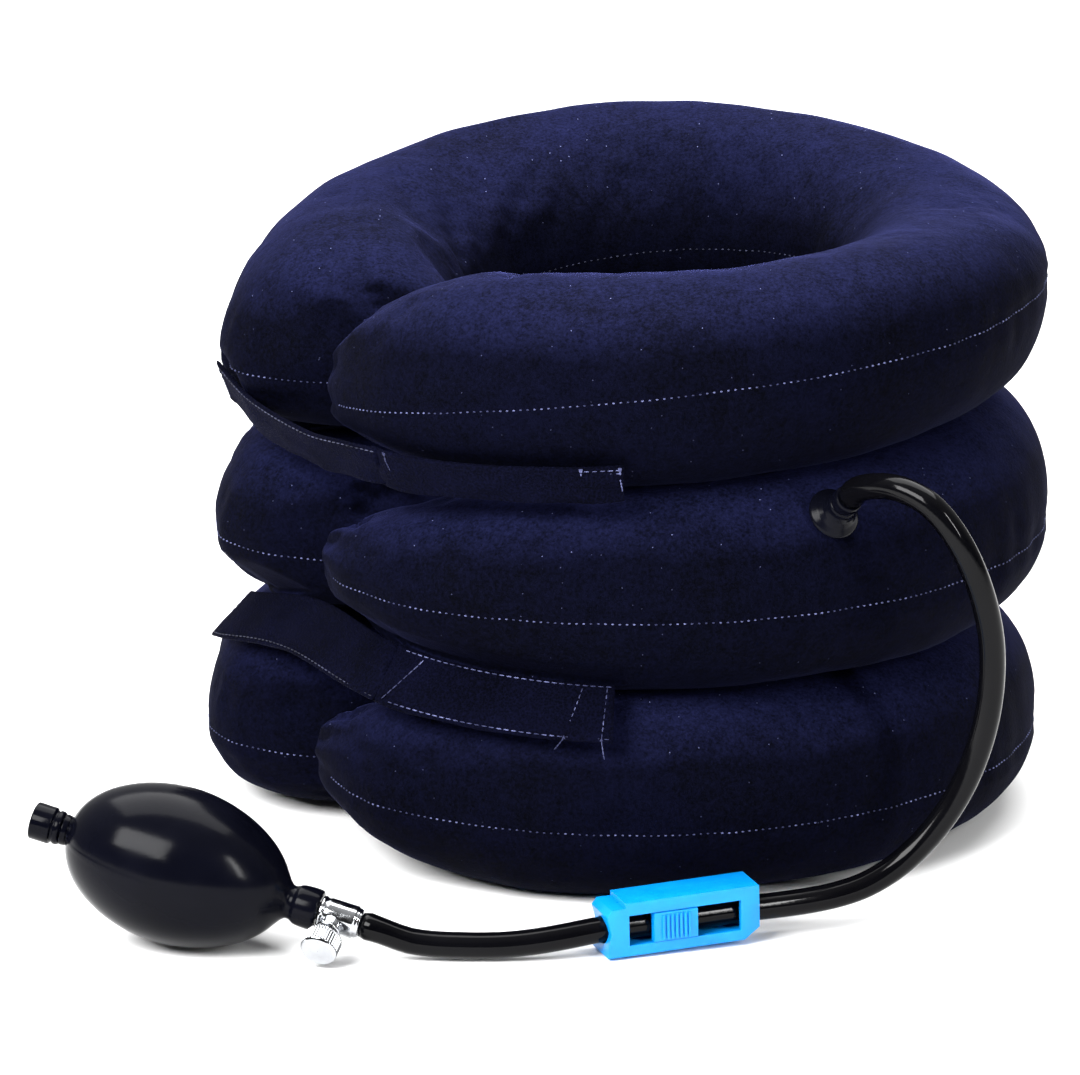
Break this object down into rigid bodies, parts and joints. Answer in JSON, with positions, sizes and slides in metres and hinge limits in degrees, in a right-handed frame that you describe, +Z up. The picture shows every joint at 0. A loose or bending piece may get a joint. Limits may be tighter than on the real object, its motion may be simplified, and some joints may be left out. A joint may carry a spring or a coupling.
{
  "type": "inflatable neck traction collar",
  "caption": "Stacked C-shaped inflatable velvet neck collar with hook-and-loop straps, fed through a black hose with a slide clamp by a squeeze bulb with a screw release valve.",
  "frame": {"origin": "centre of the box around the collar and the squeeze bulb, on the surface the object stands on", "axes": "+Z up; the straps, the bulb and the lapped ends face -Y, and +X is to the right as seen from there"},
  "size_m": [0.3191, 0.3199, 0.2059],
  "materials": {
    "velvet": "navy blue flocked velvet",
    "strap_fabric": "navy blue loop fabric, matt",
    "hook_tape": "navy blue hook tape",
    "bladder_rubber": "natural latex, matt",
    "port_rubber": "black rubber, satin",
    "bulb_rubber": "black rubber, glossy",
    "hose_rubber": "black tube, glossy",
    "clamp_plastic": "sky blue moulded plastic",
    "chrome": "polished chrome",
    "steel": "plain steel"
  },
  "bodies": {
    "root": {"bottom_tier_upper_panel": "velvet", "bottom_tier_lower_panel": "velvet", "bottom_bladder": "bladder_rubber", "lower_join_web": "strap_fabric", "lower_air_link": "bladder_rubber", "lower_strap_base": "strap_fabric", "lower_hook_pad": "hook_tape", "bulb_shell": "bulb_rubber", "intake_housing": "bulb_rubber", "intake_retainer": "steel", "valve_body": "chrome", "outlet_spring_seat": "steel", "clamp_body": "clamp_plastic", "air_hose": "hose_rubber"},
    "middle_tier": {"middle_tier_upper_panel": "velvet", "middle_tier_lower_panel": "velvet", "middle_bladder": "bladder_rubber", "upper_join_web": "strap_fabric", "upper_air_link": "bladder_rubber", "port_cup": "port_rubber", "port_nozzle": "port_rubber", "port_sleeve": "port_rubber", "port_washer": "steel"},
    "top_tier": {"top_tier_upper_panel": "velvet", "top_tier_lower_panel": "velvet", "top_bladder": "bladder_rubber", "upper_strap_base": "strap_fabric", "upper_hook_pad": "hook_tape"},
    "lower_strap": {"lower_strap_flap": "strap_fabric"},
    "upper_strap": {"upper_strap_flap": "strap_fabric"},
    "clamp_slide": {"clamp_slider": "clamp_plastic"},
    "screw_carrier": {"seal_ring": "port_rubber"},
    "release_screw": {"release_knob": "chrome", "release_needle": "steel"},
    "intake_check": {"intake_ball": "steel"},
    "outlet_check": {"outlet_ball": "steel"}
  },
  "joints": [
    {"name": "deflate", "type": "slide", "parent": "root", "child": "middle_tier", "axis": [0, 0, 1], "range_m": [-0.08442, 0], "stiffness_N_per_m": 1500, "springref_m": 0.004, "deforming": ["bottom_tier_upper_panel", "bottom_tier_lower_panel", "bottom_bladder", "lower_join_web", "lower_air_link", "lower_strap_base", "lower_hook_pad", "middle_tier_upper_panel", "middle_tier_lower_panel", "middle_bladder", "upper_join_web", "upper_air_link", "top_tier_upper_panel", "top_tier_lower_panel", "top_bladder", "upper_strap_base", "upper_hook_pad", "lower_strap_flap", "upper_strap_flap"]},
    {"name": "deflate_top", "type": "slide", "parent": "middle_tier", "child": "top_tier", "axis": [0, 0, 1], "range_m": [-0.00633, 0]},
    {"name": "peel_lower_strap", "type": "hinge", "parent": "root", "child": "lower_strap", "pos_m": [-0.05464, -0.08072, 0.064], "axis": [0, 0, 1], "range_deg": [0, 100]},
    {"name": "peel_upper_strap", "type": "hinge", "parent": "top_tier", "child": "upper_strap", "pos_m": [-0.05175, -0.07688, 0.136], "axis": [0, 0, 1], "range_deg": [0, 100]},
    {"name": "slide_clamp", "type": "slide", "parent": "root", "child": "clamp_slide", "axis": [0.9431, 0.3313, 0.0273], "range_m": [-0.007, 0.0135]},
    {"name": "screw_travel", "type": "slide", "parent": "root", "child": "screw_carrier", "axis": [-0.3055, -0.8519, -0.4254], "range_m": [0, 0.0014]},
    {"name": "turn_release_screw", "type": "hinge", "parent": "screw_carrier", "child": "release_screw", "pos_m": [-0.06872, -0.15121, 0.00866], "axis": [-0.3055, -0.8519, -0.4254], "range_deg": [0, 720]},
    {"name": "intake_ball_lift", "type": "slide", "parent": "root", "child": "intake_check", "axis": [0.9454, -0.2183, -0.2419], "range_m": [0, 0.003]},
    {"name": "outlet_ball_lift", "type": "slide", "parent": "root", "child": "outlet_check", "axis": [0.9454, -0.2183, -0.2419], "range_m": [0, 0.002], "stiffness_N_per_m": 20}
  ],
  "couplings": [
    {"joint": "deflate_top", "follows": "deflate", "ratio": 0.0738},
    {"joint": "turn_release_screw", "follows": "screw_travel", "rad_per_m": 8975.9}
  ]
}
